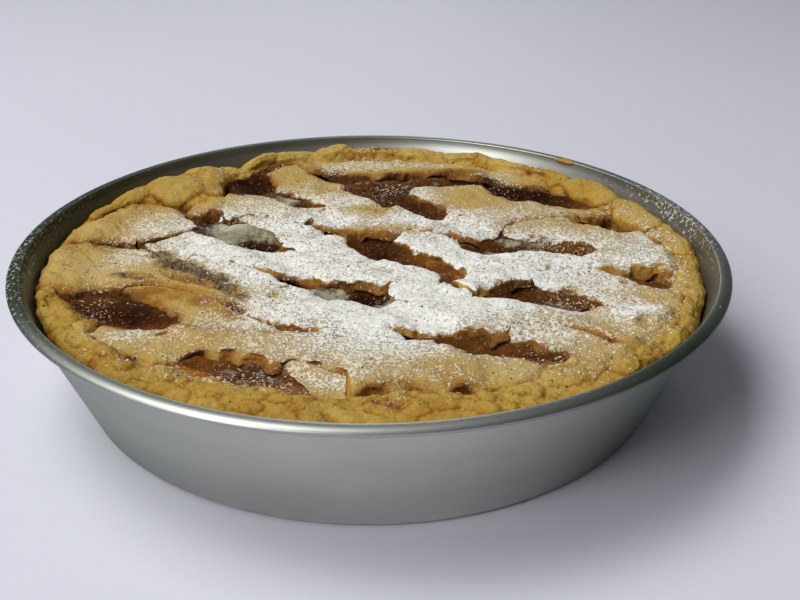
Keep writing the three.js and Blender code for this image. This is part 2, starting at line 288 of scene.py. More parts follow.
# where the lattice leaves the filling open: (x, y, half length, half width, degrees turned)
OPENINGS = [
    (-59, 88, 18, 12, 106), (-44, 69, 10, 6.5, -15), (-84, 44, 15, 3.2, -52), (-59, 21, 25, 12, -38),
    (18, 57, 24, 12, -42), (3, 80, 17, 15, 0), (36, 91, 20, 8, 4), (80, 69, 27, 12, -26), (98, 60, 9, 8, 0),
    (3, 8, 20, 12, -50), (19, -10, 16, 11, -38), (34, -25, 12, 5.5, -68),
    (57, 6, 21, 13.5, -3), (84, 4, 16, 9, -12), (-81, -12, 11, 4.2, -48), (-60, -33, 17, 2.6, -52),
    (-7, -40, 18, 10, -18), (57, -40, 14, 11, 0), (75, -45, 18, 9, -25), (43, -43, 7, 3.5, 0),
    (105, -28, 6, 2.2, -60), (114, -34, 5, 2.6, -80),
    (-94, -51, 26, 13, -27), (38, -79, 20, 8.5, -15), (60, -86, 12, 8.5, -55),
    (-48, -95, 21, 8.5, -18), (-28, -108, 9, 4.2, -40)]


def opened(x, y):
    """How many millimetres inside an opening a place is, below 0 on the pastry round it."""
    p = np.stack([x, y, 0 * x], -1)
    total = np.zeros_like(x)
    for cx, cy, length, width, turned in OPENINGS:
        c, s = math.cos(math.radians(turned)), math.sin(math.radians(turned))
        u, v = (x - cx) * c + (y - cy) * s, (y - cy) * c - (x - cx) * s
        out = np.sqrt((u / length) ** 2 + (v / width) ** 2) + 1e-6
        steep = np.hypot(u / length ** 2, v / width ** 2) / out
        total += np.exp(np.clip((1 - out) / steep, -60, width) / 1.6)
    return 1.6 * np.log(total + 1e-9) - 0.4 + 1.1 * relief(p, 9, 81) + 0.6 * relief(p, 3.6, 82)


def folded(a, column):
    """What the folds add at a turn, by column of FOLDS."""
    off = (np.degrees(a)[..., None] - FOLDS[:, 0] + 540) % 360 - 180
    return (FOLDS[:, column] * np.exp(-(off / FOLDS[:, 1]) ** 2)).sum(-1)


def edge_inner(a):
    """Radius where the folded edge ends on the filling's side."""
    r = EDGE_INNER_R - folded(a, 2) + 0.9 * np.sin(9 * a + 0.6) + 0.7 * np.sin(16 * a + 2.1)
    # beside an opening the fold ends where the opening does
    tried = np.arange(131, 100, -0.5)
    found = opened(np.cos(a)[..., None] * tried, np.sin(a)[..., None] * tried) > 0
    edge = tried[np.argmax(found, -1)] - 2.6
    r = np.where(found.any(-1) & (edge > r - 10), edge, r)
    return np.minimum(r, tin_inside(FILL_TOP) - GAP - CRUST - 0.6)


def edge_outer(a):
    """Radius of the fold's outer side, next to the tin."""
    return EDGE_R + folded(a, 3) + 0.5 * np.sin(11 * a + 1.1) + 0.4 * np.sin(19 * a)


def edge_top(a):
    """Height of the fold."""
    return (EDGE_TOP + folded(a, 4) + EDGE_RISE * np.cos(a - math.radians(EDGE_RISE_AT))
            + 0.55 * np.sin(13 * a + 0.4) + 0.4 * np.sin(22 * a + 1.9))


# the flaps that can be told apart: (x, y, half length, half width, degrees turned, rise)
FLAPS = [(-95, 74, 17, 15, 78, 2.8), (-77, 84, 16, 9, 95, 2.4), (-72, 58, 11, 8, 80, 2.0),
         (-90, 100, 11, 6, 40, 1.8), (-114, 62, 13, 8, 62, 1.8), (-123, 44, 10, 7, 70, 1.6),
         (-112, 82, 7, 5, 50, 1.4), (-107, 50, 7, 5, 20, 0.8), (-104, -66, 5, 4, 0, 1.8),
         (90, 92, 12, 10, 118, 1.8),
         (106, 70, 19, 10, 118, 2.5), (121, 40, 19, 8.5, 104, 2.2), (130, 6, 14, 6, 92, 1.6),
         (127, -26, 12, 6, 80, 1.4), (-60, 116, 11, 7, 22, 1.9), (-40, 124, 12, 7, 10, 1.4)]
# and the softer swellings between them
SWELLS = [(-21, 127, 12, 9, 12, 2.4), (3, 125, 13, 8, -8, 1.3), (30, 123, 16, 8, -12, 1.2),
          (52, 118, 12, 9, -20, 1.8), (73, 104, 15, 8, -42, 1.4), (112, -72, 16, 8, 62, 1.2),
          (-40, -120, 18, 7, -18, 0.8), (40, -114, 16, 7, 18, 1.0),
          (84, -100, 14, 8, 40, 1.0), (-90, -92, 16, 7, -46, 1.0)]
rng = np.random.default_rng(8)
# small lumps all round the edge, higher along the front and the left
small = []
for a in np.arange(0, 360, 1.3):
    d, size = rng.uniform(110, 134), rng.uniform(2.2, 6.4)
    small.append((d * math.cos(math.radians(a)), d * math.sin(math.radians(a)), size * rng.uniform(1, 1.5),
                  size, a + 90 + rng.uniform(-50, 50), rng.uniform(0.4, 1.2) * (1.25 if a > 190 else 0.7)))


def cobbles(x, y, size, seed):
    """How far inside its own lump a place is, 0 in the cracks, for lumps about this size."""
    u, v = x / size + 17.3 * seed, y / size - 9.1 * seed
    i, j = np.floor(u), np.floor(v)
    first, second = np.full_like(u, 9.0), np.full_like(u, 9.0)
    for a, b in [(i + di, j + dj) for di in (-1, 0, 1) for dj in (-1, 0, 1)]:
        along_x = np.sin(a * 127.1 + b * 311.7) * 4375.85 % 1
        along_y = np.sin(a * 269.5 + b * 183.3) * 4375.85 % 1
        off = np.hypot(a + along_x - u, b + along_y - v)
        second = np.maximum(first, np.minimum(second, off))
        first = np.minimum(first, off)
    return second - first


def crags(x, y, crumbly=1.0):
    """Height of the rough skin of baked dough, and how near its cracks are."""
    p = np.stack([x, y, 0 * x], -1)
    xs = x + 1.3 * relief(p, 4, 71) + 0.5 * relief(p, 1.8, 72)
    ys = y + 1.3 * relief(p, 4, 73) + 0.5 * relief(p, 1.8, 74)
    lumps, bits = cobbles(xs, ys, 9.5, 1), cobbles(xs, ys, 3.6, 2)
    patchy = np.clip(0.6 + 0.9 * relief(p, 15, 75), 0.1, 1.2) * crumbly
    skin = (0.5 * relief(p, 13, 63) + 0.36 * relief(p, 6.2, 64) + 0.22 * relief(p, 3.3, 65)
            + 0.2 * relief(p, 1.6, 66) + patchy * (0.66 * np.clip(lumps / 0.4, 0, 1) ** 0.6
                                                   + 0.24 * np.clip(bits / 0.45, 0, 1) ** 0.6 - 0.56))
    cracked = patchy * np.maximum(np.clip(1 - lumps / 0.09, 0, 1), 0.5 * np.clip(1 - bits / 0.1, 0, 1))
    return skin, cracked


def domes(x, y, shapes, power):
    """Height of the highest flat-topped lump at a place, and how near its edge the place is."""
    high, rim = np.zeros_like(x), np.zeros_like(x)
    for cx, cy, length, width, turned, rise in shapes:
        c, s = math.cos(math.radians(turned)), math.sin(math.radians(turned))
        u = ((x - cx) * c + (y - cy) * s) / length
        v = ((y - cy) * c - (x - cx) * s) / width
        out = np.sqrt(u * u + v * v)
        h = rise * np.clip(1 - out ** 2.6, 0, 1) ** power
        rim = np.where(h > high, np.clip(out, 0, 1), rim)
        high = np.maximum(high, h)
    return high, rim


# where one shake of the sieve fell thicker or thinner: (x, y, half length, half width, change)
SHAKES = [(5, -71, 12, 9, 0.4), (18, -52, 50, 11, 0.1), (98, -58, 8, 7, 0.45), (42, -26, 16, 12, 0.1),
          (0, -88, 15, 8, 0.05), (46, 62, 21, 18, -0.42), (-2, 44, 13, 11, -0.42),
          (-20, 76, 16, 14, -0.3), (-42, 92, 10, 12, -0.3), (-70, -40, 26, 14, -0.42),
          (-104, -22, 18, 16, -0.1), (30, -98, 24, 8, -0.15), (-56, -78, 34, 9, -0.25),
          (-6, 115, 26, 8, 0.3), (34, 115, 12, 6, 0.2), (64, 99, 12, 7, 0.3),
          (-38, 48, 34, 14, -0.22), (-32, 18, 16, 14, -0.08), (60, 44, 24, 12, -0.12),
          (70, -62, 30, 8, -0.12), (-76, 42, 10, 8, 0.2), (-104, 32, 20, 14, 0.32),
          (-106, -10, 20, 16, 0.2), (0, 30, 14, 12, -0.1), (-40, -80, 44, 9, 0.1),
          (88, 84, 18, 14, -0.3), (-10, 98, 20, 5, -0.35), (40, 101, 20, 6, -0.6),
          (6, 60, 9, 14, -0.25), (48, 62, 16, 16, -0.2), (8, 21, 26, 6, -0.5), (4, 42, 9, 8, -0.2),
          (78, 32, 28, 6, -0.25), (62, 24, 12, 8, -0.25), (72, 44, 14, 7, -0.12),
          (-80, -18, 12, 7, -0.35), (-72, -36, 14, 8, -0.3), (-60, -58, 14, 8, -0.15),
          (118, -18, 10, 12, 0.15), (100, -60, 10, 7, 0.2), (-80, 60, 10, 10, -0.25),
          (-118, 40, 12, 16, -0.15), (18, -50, 34, 16, 0.1), (88, -14, 26, 9, 0.12),
          (-15, -106, 20, 6, 0.25), (-75, 5, 16, 12, 0.2), (-88, -72, 12, 7, 0.3),
          (-60, 50, 18, 10, 0.05), (118, 5, 14, 24, 0.18), (-85, 66, 16, 18, -0.3),
          (-112, 34, 20, 16, -0.12), (100, 60, 14, 26, -0.3), (-95, -45, 14, 12, -0.2),
          (84, 20, 16, 12, -0.15)]


def dusting(x, y):
    """How much of a place the icing sugar covers, 0 to 1: a sieve shaken over the middle."""
    dusted = 0.97 * np.exp(-(np.hypot((x - 10) / 118, (y + 1) / 110) ** 3.1))
    dusted = dusted - 0.2 * np.clip((-102 - y) / 8, 0, 1) - 0.1 * np.clip((-104 - x) / 10, 0, 1)
    for cx, cy, length, width, change in SHAKES:
        dusted = dusted + change * np.exp(-((x - cx) / length) ** 2 - ((y - cy) / width) ** 2)
    return np.clip(dusted, 0.015, 1.0)


turn = case_turn = np.linspace(0, 2 * np.pi, 1100, endpoint=False)
inner, outer, top = edge_inner(turn), edge_outer(turn), edge_top(turn)
inner = np.convolve(np.r_[inner[-7:], inner, inner[:7]], np.ones(15) / 15, "valid")
one = np.ones_like(turn)
rows = [(r * one, (SHEET + GAP) * one) for r in (1, 60, 112, tin_inside(5) - 5.4)]
rows += [((tin_inside(z) - GAP - (1.0 if z < 8 else 0)) * one, z * one) for z in (6.5, 12, 20, 28, 35, 39.8)]
corners = [(np.minimum(tin_inside(41.8) - GAP, outer), 41.8 * one),
           (np.minimum(outer, tin_inside(44.8) - GAP), 44.8 * one),
           (np.minimum(outer - 0.3, tin_inside(46.8) - GAP), top - 2.4), (outer - 1.4, top - 0.9),
           (outer - 3.4, top - 0.1), (outer - 6, top),
           ((outer - 5 + inner) / 2, (top + EDGE_NOSE) / 2 + 0.5),
           (np.minimum(inner + 2.6, outer - 7), EDGE_NOSE + 0.2 * one),
           (np.minimum(inner + 0.9, outer - 7.2), EDGE_NOSE - 1.0 * one), (inner, EDGE_NOSE - 2.8 * one),
           (inner - 0.8, EDGE_NOSE - 5.0 * one), (inner - 2.2, (FILL_TOP + 0.4) * one),
           (inner - 3.5, (FILL_TOP - 1) * one)]
lengths = [2, 4, 4, 4, 4, 13, 13, 4, 4, 4, 3, 2]
for (r0, z0), (r1, z1), count in zip(corners, corners[1:], lengths):
    rows += [(r0 + (r1 - r0) * t, z0 + (z1 - z0) * t) for t in np.arange(count) / count]
crust_floor = (SHEET + GAP + CRUST_BASE) * one
rows += [corners[-1]] + [((tin_inside(z) - CRUST - GAP) * one, z * one) for z in (30, 10)]
rows += [((tin_inside(5) - 13) * one, crust_floor), (1 * one, crust_floor)]
r, z = (np.array(part) for part in zip(*rows))
crust = np.stack([r * np.cos(turn), r * np.sin(turn), z], -1)
# only what shows is uneven: the rows above the wall of the case
shown = np.clip((z - 42.8) / 3.0, 0, 1) * (np.arange(len(rows)) > 9)[:, None]
wx = crust[..., 0] + 1.6 * relief(crust, 9, 1) + 0.7 * relief(crust, 3.5, 12)
wy = crust[..., 1] + 1.6 * relief(crust, 9, 2) + 0.7 * relief(crust, 3.5, 13)
flap, flap_rim = domes(wx, wy, FLAPS, 0.6)
lump, lump_rim = domes(wx, wy, small, 0.9)
swells = domes(wx, wy, SWELLS, 1.2)[0]
on_flap = np.clip(flap / 0.6, 0, 1)
front = np.clip((40 - crust[..., 1]) / 60, 0, 1)
skin, cracked = crags(crust[..., 0], crust[..., 1], 1.15 - 0.15 * front - 0.45 * on_flap)
swell = np.maximum(flap, swells) + lump * (1 - 0.85 * on_flap) - 0.6 + (1.15 - 0.4 * on_flap) * skin
crust[..., 2] += shown * swell
crust[..., :2] *= (1 + (shown * (0.7 * relief(crust, 6, 8) + 0.45 * relief(crust, 2.6, 9)) / 130)
                   * (z < top - 0.6))[..., None]
crust[..., 2] = np.minimum(crust[..., 2], CRUST_TALLEST)
reach = np.hypot(crust[..., 0], crust[..., 1])
wall_at = tin_inside(crust[..., 2]) - 0.15
crust[..., :2] *= np.minimum(1, wall_at / reach)[..., None]
crease = shown * np.maximum(np.exp(-((1 - flap_rim) / 0.09) ** 2) * on_flap * 0.9,
                            np.exp(-((1 - lump_rim) / 0.2) ** 2) * 0.5 * (1 - on_flap))
low = np.clip((EDGE_NOSE - crust[..., 2]) / 4, 0, 1)
x, y = crust[..., 0], crust[..., 1]
# painted shade in the baked tone: darker in the creases, in the cracks and low on the fold's inner face
# under its nose; painted light: lighter towards the back
case = piece("pastry_case_baked", crust, node="pastry_case", attributes={
    "dust": dusting(x, y) * np.clip((139 - np.hypot(x, y)) / 14, 0, 1) * (1 - 0.6 * crease),
    "baked": np.clip(0.34 + 0.7 * crease + 0.5 * low + 0.22 * relief(crust, 16, 11)
                     - 0.06 * on_flap - 0.1 * skin + 0.2 * cracked
                     - 0.14 * np.clip((y - 92) / 15, 0, 1), 0, 1)})


def pastry(name, pale, gold, amber, brown):
    """Baked short-crust with icing sugar on whatever faces up."""
    dough, sockets = finish(name)
    baked, dust = dough.painted("baked"), dough.painted("dust")
    upwards = dough.node("ShaderNodeNewGeometry", out=1)
    up = dough.node("ShaderNodeSeparateXYZ", sockets={0: upwards}, out=2)
    blotch, mottle = dough.noise(19, 3), dough.noise(5, 3, 0.6)
    crumb, grain = dough.noise(1.2, 3, 0.65), dough.noise(0.55, 2, 0.6)
    tone = baked + (blotch - 0.5) * 0.4 + (mottle - 0.5) * 0.4 + (crumb - 0.5) * 0.25 + (0.75 - up) * 0.22
    colour = tone.node("ShaderNodeValToRGB", {"stops": [
        (0.05, pale), (0.36, gold), (0.66, amber), (0.98, brown)]}, {0: tone})
    colour = (grain.band(0.45, 0.8) * 0.2).blend(colour, rgb(206, 172, 104))
    cover = dust * up.band(0.5, 0.9)
    uneven = (crumb - 0.5) * 0.45 + (grain - 0.5) * 0.7 + (mottle - 0.5) * 0.3 + (blotch - 0.5) * 0.22
    sieved = (uneven + (cover - 0.5) * 0.3).band(-0.05, 0.05) * cover.band(0.01, 0.12)
    colour = (cover.band(0.35, 0.95) * 0.55).blend(colour, rgb(172, 158, 128))
    sugar = sieved * 0.54 + cover.band(0.12, 0.95) * 0.4
    clumps = (mottle * 0.3 + grain * 0.7).band(0.35, 0.65)
    thin = clumps.blend(rgb(200, 186, 146), rgb(236, 226, 196))
    thick = clumps.blend(rgb(212, 211, 200), rgb(250, 250, 244))
    colour = sugar.blend(colour, cover.band(0.25, 0.8).blend(thin, thick))
    # painted shade: the broken-open crumb is mottled from near black, standing for its shade, to grey-brown
    torn_and_shaded = (grain * 0.6 + crumb * 0.4).band(0.38, 0.62).blend(rgb(52, 38, 26), rgb(146, 130, 102))
    colour = (dough.painted("broken") * 0.95).blend(colour, torn_and_shaded)
    elsewhere = dough.node("ShaderNodeMapping", {}, {"Vector": dough.place(), "Location": (3, 1, 2)})
    fleck = (dough.noise(0.75, 2, 0.6, elsewhere) + (mottle - 0.5) * 0.3).band(0.63, 0.7) * (1.15 - cover)
    colour = (fleck * 0.55).blend(colour, rgb(112, 84, 42))
    bump = dough.node("ShaderNodeBump", {}, {"Strength": 0.85, "Distance": 0.0008,
                                             "Height": crumb * 0.8 + grain * 0.5 + sieved * 0.35})
    return sockets(Base_Color=colour, Roughness=0.62 + sieved * 0.3 - mottle * 0.1, Normal=bump,
                   Specular_IOR_Level=0.03)


case.data.materials.append(pastry("golden_pastry", rgb(190, 160, 84), rgb(174, 138, 58), rgb(148, 98, 34),
                                  rgb(84, 48, 20)))


# ---- The lattice strips, as laid ----------------------------------------------------------------
# Strips of the same pastry, rolled about 7 mm thick, cut freehand and laid over the filling: five one
# way first, then five across them. The upper ones climb over the lower, which they press flat. The
# front one still has the waves of the pastry wheel, and the third across has cracked in three.

STRIP, PRESSED, BRIDGE, RAMP = 7.0, 5.3, 3.2, 7.0
FLUTE_PITCH, FLUTE_DEPTH = 11.5, 3.0
# control points along each centre line, as (x, y, width)
LOWER = {
    "lower_strip_1": [(40, 85, 36), (44, 64, 38), (71, 35, 31), (103, 11, 31), (126, -12, 26)],
    "lower_strip_2": [(-42, 102, 24), (-12, 59, 25), (18, 17, 27), (52, -13, 27), (82, -29, 33),
                      (114, -57, 26)],
    "lower_strip_3": [(-62, 56, 24), (-47, 37, 26), (-33, 22, 24), (-9, -13, 25), (27, -43, 25),
                      (70, -80, 26), (88, -94, 22)],
    "lower_strip_4": [(-86, 10, 22), (-68, -8, 26), (-46, -30, 23), (-12, -64, 26), (22, -100, 22)],
    "lower_strip_5": [(-94, -20, 22), (-76, -38, 24), (-44, -74, 26), (-17, -98, 30), (-4, -113, 32)]}
UPPER = {
    "upper_strip_1": [(-73, 110, 13), (-42, 118, 17), (-5, 109, 22), (38, 113, 18), (58, 105, 22),
                      (92, 85, 24)],
    "upper_strip_2": [(-74, 59, 24), (-30, 42, 25), (5, 34, 25), (36, 28, 21), (78, 45, 23),
                      (110, 47, 12)],
    "upper_strip_3_left": [(-131, 24, 26), (-114, 31, 42), (-99, 33, 48), (-85, 21, 32)],
    "upper_strip_3_middle": [(-83.5, 9, 22), (-65, 2, 24), (-22, -16, 21), (4, -22, 19), (28, -27, 14)],
    "upper_strip_3_right": [(34, -34, 9), (45, -27, 21), (60, -14, 25), (80, -11, 20), (127, -8, 21)],
    "upper_strip_4": [(-132, -10, 42), (-112, -13, 47), (-86, -22, 25), (-58, -42, 13), (-32, -58, 18),
                      (20, -59, 24), (80, -62, 19), (96, -70, 29), (112, -74, 29)],
    "upper_strip_5": [(-99, -74, 17), (-81, -75, 22), (-66, -76, 22), (-40, -80, 21), (-20, -84, 24),
                      (0, -92, 29), (18, -98, 28), (42, -97, 22), (66, -101, 12)]}


def fill_top(x, y):
    """Height of the filling's surface as it was poured."""
    return FILL_TOP + FILL_DOME * (1 - (x * x + y * y) / EDGE_R ** 2)


def course(points, step):
    """A strip's centre line by stations: place, direction sideways, half width, length so far."""
    p = np.array(points, float)
    p = np.vstack([2 * p[0] - p[1], p, 2 * p[-1] - p[-2]])
    t = np.r_[0, np.cumsum(np.linalg.norm(np.diff(p, axis=0), axis=1) ** 0.5)]
    fine = []
    for i in range(1, len(p) - 2):
        for u in np.linspace(0, 1, 60, endpoint=False):
            w = t[i] + u * (t[i + 1] - t[i])
            a = [p[k] + (p[k + 1] - p[k]) * (w - t[k]) / (t[k + 1] - t[k]) for k in (i - 1, i, i + 1)]
            b = [a[k] + (a[k + 1] - a[k]) * (w - t[i - 1 + k]) / (t[i + 1 + k] - t[i - 1 + k])
                 for k in (0, 1)]
            fine.append(b[0] + (b[1] - b[0]) * u)
    fine = np.array(fine + [p[-2]])
    s = np.r_[0, np.cumsum(np.hypot(*np.diff(fine[:, :2], axis=0).T))]
    count = max(4, round(s[-1] / step)) + 1
    at = np.linspace(0, s[-1], count)
    line = np.stack([np.interp(at, s, fine[:, k]) for k in range(3)], -1)
    d = np.gradient(line[:, :2], axis=0)
    d /= np.linalg.norm(d, axis=1)[:, None]
    return line[:, :2], np.stack([-d[:, 1], d[:, 0]], -1), line[:, 2] / 2, at


def past_edge(x, y):
    """How far a place lies outwards of the inner edge of the case."""
    return np.hypot(x, y) - np.interp(np.arctan2(y, x), case_turn, inner, period=2 * np.pi)


def cover(layer, x, y, low, high):
    """How much a layer's strips lie over a place, by its distance out from their edges."""
    most = np.zeros_like(x)
    for points in layer.values():
        middle, _, half, _ = course(points, 3)
        near = np.min(np.hypot(x[..., None] - middle[:, 0], y[..., None] - middle[:, 1]) - half, axis=-1)
        u = np.clip((high - near) / (high - low), 0, 1)
        most = np.maximum(most, u * u * (3 - 2 * u))
    return most


# half of a strip's section, its foot spread on what it lies on: (inset from its edge, height 0 to 1)
SIDE = [(-2.6, -0.08), (-1.9, 0.04), (-1.3, 0.14), (-0.8, 0.24), (-0.4, 0.34), (0.0, 0.44), (0.4, 0.54),
        (0.8, 0.63), (1.3, 0.72), (1.9, 0.8), (2.6, 0.87), (3.4, 0.92), (4.2, 0.95)]
CROWN = np.linspace(1, 0.02, 20)[1:]
NIP_PITCH, NIP_DEPTH = 6.6, 1.2     # the waves that the pastry wheel left on the other edges
# which ends lie free, first and last; the others run on under the fold or the strips above
FREE_ENDS = {"lower_strip_1": (1, 0), "upper_strip_3_left": (0, 1), "upper_strip_3_middle": (1, 1),
             "upper_strip_3_right": (1, 0)}
END_RUN = 7.0
SPREAD, SPREAD_OVER, EDGE_SLOPE = 8.0, 4.5, 2.6
# how far out they come, and the two flaps at the left that are the edge themselves
STRIP_REACH, FLAP_REACH, FLAP_DROP_FROM, FLAP_DROP_OVER = 128.5, EDGE_R, 130, 5
# shallow hollows in the strips' tops, painted darker as shade: (x, y, half length, half width, degrees
# turned, depth)
HOLLOWS = [(-92, -25, 8, 2.2, -12, 1.6), (-72, -30, 17, 3.0, -33, 1.5), (-52, -52, 8, 2.0, -35, 1.0),
           (-34, -33, 2.6, 1.4, 20, 2.2), (-23, 46, 2.0, 1.3, 40, 2.0), (-28, 31, 2.6, 1.6, 40, 2.2),
           (20, -1, 1.8, 1.2, 0, 1.6), (-75, -70, 3, 1.2, 50, 1.6), (100, -31, 2.4, 1.6, 30, 1.4),
           (-47, 24, 5, 2.5, -40, 1.2), (76, -36, 6, 3, 20, 1.0), (-38, -40, 4, 1.5, 60, 1.0)]
# painted shade and painted light on the strips' sides, darker where the change is above 0: (x, y, half
# length, half width, change)
SIDE_SHADE = [(-12, -31, 20, 6, 0.3), (-68, 36, 11, 9, 0.45), (30, 100, 24, 9, -0.15), (-10, 94, 14, 8, 0.3),
            (-40, 72, 12, 10, 0.35), (25, -24, 14, 8, -0.12), (-65, -46, 26, 8, -0.15),
            (55, 20, 18, 7, 0.25), (58, -32, 10, 7, 0.35), (-108, -37, 20, 6, 0.5),
            (-62, 102, 14, 10, 0.5), (66, 88, 22, 8, 0.4), (104, -27, 14, 9, -0.4)]
# where sugar has melted to a grey veil in the hollows: (x, y, half length, half width, strength);
# the first two are thick enough to lie over the strips' sides and to rise and fall with the wheat
VEILS = [(-60, 24, 22, 14, 1.0), (-44, 68, 12, 9, 1.0), (-18, -37, 9, 8, 0.7), (12, -42, 11, 8, 0.9),
         (74, 10, 8, 7, 0.3), (72, -44, 9, 6, 0.35), (-62, 34, 22, 8, 0.5)]
THICK_VEILS = VEILS[:2]
# where a strip's sides are wide and toasted amber:
# (x, y, half length, half width, degrees turned, strength)
TOASTED = [(-71, -44, 16, 3.6, -32, 0.5), (-86, -37, 7, 3, -10, 0.35), (-52, -58, 8, 2.4, -45, 0.3),
           (30, 100, 30, 4.5, 0, 0.35), (-14, 95, 16, 4, 10, 0.3), (-44, 113, 18, 3, 8, 0.2),
           (-4, 58, 5, 8, 0, 0.1), (22, -116, 40, 3, 0, 0.1)]
# where their tops are broken open, grey-brown, with the shade in the broken crumb painted in: (x, y, half
# length, half width, strength)
BROKEN = [(-88, -3, 5, 4.5, 1.2), (-81, -13, 6, 4.8, 1.4), (-73, -19, 6.5, 5, 1.4),
          (-64, -26, 6.5, 4.6, 1.3), (-57, -35, 5, 5, 1.1), (-51, -44, 4, 5, 0.8),
          (-99, -25, 5, 2.2, 0.9), (-93, -27, 5, 2.0, 0.8), (98, -66, 3, 4, 0.6),
          (72, 15, 6, 5, 0.5), (74, -38, 7, 4, 0.45)]


def patches(x, y, shapes):
    """Sum of soft patches at a place: (x, y, half length, half width, strength) each."""
    return sum(c * np.exp(-((x - cx) / a) ** 2 - ((y - cy) / b) ** 2) for cx, cy, a, b, c in shapes)


def strip(name, points, upper, material):
    """One strip of the lattice, on the filling or over the strips below it."""
    free = FREE_ENDS.get(name, (0, 0))
    run = [np.array(p, float) for p in points]
    for k, (end, beside) in enumerate(((0, 1), (-1, -2))):
        if not free[k]:
            away = (run[end] - run[beside])[:2]
            run[end] = np.append(run[end][:2] + END_RUN * away / np.hypot(*away), run[end][2])
    middle, sideways, half, length = course(run, 0.7)
    seed = 40 + 7 * sorted({**LOWER, **UPPER}).index(name)
    # two of them turn into the flaps at the left
    is_flap = np.clip((-90 - middle[:, 0]) / 8, 0, 1)[:, None]
    is_flap = is_flap * (name in ("upper_strip_3_left", "upper_strip_4"))
    # a free end is rounded off in plan and slopes down as the sides do
    to_end = np.minimum(np.where(free[0], length, 99), np.where(free[1], length[-1] - length, 99))
    rounding = np.clip(1 - (1 - np.clip(to_end / (0.4 * half), 0, 1)) ** 2.6, 0.02, 1) ** 0.42
    slope_end = np.interp(to_end, [0.0, 0.4, 1.2, 2.4, 4.0, 6.0], [0.1, 0.45, 0.72, 0.87, 0.95, 1.0])
    sides, tones = [], []
    stations = np.arange(len(length))
    for hand in (-1, 1):
        # it spreads to the edge of an opening that lies near its own edge, and no further
        tried = np.linspace(0.3, 1, 60)[:, None] * (half + SPREAD)
        there = middle.T[:, None] + sideways.T[:, None] * hand * tried
        stops = (opened(*there) > 0) & (tried < half + (SPREAD_OVER if upper else SPREAD))
        stops |= (past_edge(*there) > 1.5) & (tried > half - 1)
        edge = np.where(stops.any(0), tried[np.argmax(stops, 0), stations] + EDGE_SLOPE, half)
        edge = np.convolve(np.r_[[edge[0]] * 4, edge, [edge[-1]] * 4], np.ones(9) / 9, "valid")
        fluted = name == "upper_strip_5" and hand < 0
        pitch, depth = (FLUTE_PITCH, FLUTE_DEPTH) if fluted else (NIP_PITCH, NIP_DEPTH)
        q = np.stack([middle[:, 0] + hand * 90, middle[:, 1], length], -1)
        ragged = 0.9 * relief(q, 10, seed) + 0.5 * relief(q, 4.2, seed + 1) + 0.2 * relief(q, 2.1, seed + 2)
        if fluted:
            wave = np.cos(2 * np.pi * length / pitch + 0.8 * relief(q, 30, seed + 13))
            bay = depth * (0.5 + 0.5 * wave)
        else:
            wave = np.abs(np.sin(np.pi * (length / pitch + 0.3 * relief(q, 24, seed + 3)))) ** 0.7
            bay = depth * (1 - wave) * np.clip(0.7 + 0.8 * relief(q, 21, seed + 13), 0, 1.3)
        reach = edge * rounding + ragged * rounding * (0.5 if fluted else 0.7)
        crown = reach - SIDE[-1][0] * rounding
        ring = [(reach - inset * rounding - bay * min(1, (0.97 - h) / 0.3), h) for inset, h in SIDE]
        ring += [(crown * u, 0.95 + 0.05 * (1 - u ** 2.5)) for u in CROWN]
        # the sides darken towards their foot, browner and with painted shade where they meet what they lie
        # on; the bays of the fluted edge are painted darker as shade, its crests lighter
        in_bay = 0.4 * bay / depth - 0.3 if fluted else 0
        tone = [0.38 + 0.42 * (1 - max(h, 0)) ** 0.9 + 0.16 * (h < 0.9) + in_bay for _, h in SIDE]
        tone += [0.40 * u ** 5 for u in CROWN]
        if hand > 0:
            ring, tone = ring[::-1], tone[::-1]
        for (off, h), t in zip(ring, tone):
            x, y = (middle + sideways * (hand * off)[:, None]).T
            sides.append(np.stack([x, y, np.broadcast_to(h, x.shape)], -1))
            tones.append(t * np.ones_like(x))
    grid, tone = np.stack(sides, 1), np.stack(tones, 1)
    x, y, h = grid[..., 0], grid[..., 1], grid[..., 2].copy()
    over = cover(LOWER if upper else UPPER, x, y, 0 if upper else -4, RAMP if upper else -0.5)
    bed = fill_top(x, y) + GAP + (over * (PRESSED + GAP) if upper else 0)
    thick = STRIP + ((BRIDGE if upper else PRESSED) - STRIP) * over
    grid[..., 2] = bed + thick * np.minimum(h, slope_end[:, None] * (0.2 + 0.8 * h))
    if not upper:
        # the dough has run together with the strips above it
        grid[..., 2] += 1.3 * cover(UPPER, x, y, 0.5, 5) * np.clip(h * 3 - 2, 0, 1)
        # in front of the fluted strip they lie lower
        grid[..., 2] -= 1.5 * patches(x, y, [(-18, -106, 26, 7, 1), (20, -114, 26, 5, 1)]) * h
    dip, _ = domes(x + 0.8 * relief(grid, 3, seed + 11), y + 0.8 * relief(grid, 3, seed + 12), HOLLOWS, 0.8)
    flat = np.stack([x, y, 40 + 0 * x], -1)
    skin, cracked = crags(x, y, 0.65 + 0.5 * is_flap)
    torn = np.clip(patches(x, y, BROKEN), 0, 1) * (relief(flat, 2.6, 94) + 0.6 * relief(flat, 1.3, 95))
    grid[..., 2] += (skin - dip + 0.7 * torn) * np.clip((h - 0.3) * 2, 0, 1)
